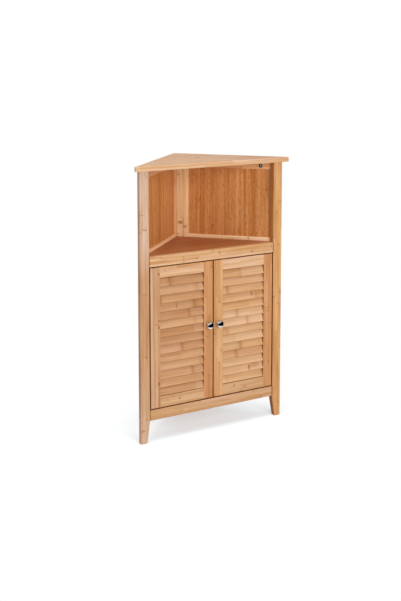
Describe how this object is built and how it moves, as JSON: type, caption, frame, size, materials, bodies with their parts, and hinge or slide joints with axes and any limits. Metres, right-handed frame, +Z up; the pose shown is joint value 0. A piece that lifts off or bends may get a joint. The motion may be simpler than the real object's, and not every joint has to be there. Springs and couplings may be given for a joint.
{
  "type": "corner cupboard",
  "caption": "Three-legged bamboo corner cupboard with a triangular top, an open niche, and a pair of inset louvred doors with round chrome knobs below.",
  "frame": {"origin": "on the floor, midway between the knobs' fronts and the rear apex, halfway across the width", "axes": "+Z up, -Y out of the front with the doors, +Y towards the room's corner, +X to the viewer's right"},
  "size_m": [0.58, 0.309, 0.92],
  "materials": {
    "top": "satin lacquered bamboo",
    "frame": "satin lacquered bamboo",
    "panel": "satin lacquered bamboo board",
    "shelf": "satin lacquered bamboo board",
    "slat": "satin lacquered bamboo",
    "chrome": "polished",
    "steel": "plain",
    "plastic": "matte"
  },
  "bodies": {
    "carcass": {"top_plate": "top", "left_front_post": "frame", "right_front_post": "frame", "front_middle_rail": "frame", "front_bottom_rail": "frame", "middle_shelf": "shelf", "bottom_shelf": "shelf", "magnetic_catch": "plastic", "left_rear_stile": "frame", "left_top_side_rail": "frame", "left_middle_side_rail": "frame", "left_bottom_side_rail": "frame", "left_side_panel": "panel", "right_rear_stile": "frame", "right_top_side_rail": "frame", "right_middle_side_rail": "frame", "right_bottom_side_rail": "frame", "right_side_panel": "panel"},
    "left_door": {"left_door_hinge_stile": "frame", "left_door_meeting_stile": "frame", "left_door_top_rail": "frame", "left_door_bottom_rail": "frame", "left_door_upper_pin": "steel", "left_door_lower_pin": "steel", "left_door_knob": "chrome", "left_door_slat_01": "slat", "left_door_slat_02": "slat", "left_door_slat_03": "slat", "left_door_slat_04": "slat", "left_door_slat_05": "slat", "left_door_slat_06": "slat", "left_door_slat_07": "slat", "left_door_slat_08": "slat", "left_door_slat_09": "slat", "left_door_slat_10": "slat", "left_door_slat_11": "slat", "left_door_slat_12": "slat", "left_door_slat_13": "slat", "left_door_slat_14": "slat"},
    "right_door": {"right_door_hinge_stile": "frame", "right_door_meeting_stile": "frame", "right_door_top_rail": "frame", "right_door_bottom_rail": "frame", "right_door_upper_pin": "steel", "right_door_lower_pin": "steel", "right_door_knob": "chrome", "right_door_slat_01": "slat", "right_door_slat_02": "slat", "right_door_slat_03": "slat", "right_door_slat_04": "slat", "right_door_slat_05": "slat", "right_door_slat_06": "slat", "right_door_slat_07": "slat", "right_door_slat_08": "slat", "right_door_slat_09": "slat", "right_door_slat_10": "slat", "right_door_slat_11": "slat", "right_door_slat_12": "slat", "right_door_slat_13": "slat", "right_door_slat_14": "slat"}
  },
  "joints": [
    {"name": "left_door_hinge", "type": "hinge", "parent": "carcass", "child": "left_door", "pos_m": [-0.2258, -0.1245, 0.35], "axis": [0, 0, -1], "range_deg": [0, 110]},
    {"name": "right_door_hinge", "type": "hinge", "parent": "carcass", "child": "right_door", "pos_m": [0.2258, -0.1245, 0.35], "axis": [0, 0, 1], "range_deg": [0, 110]}
  ]
}
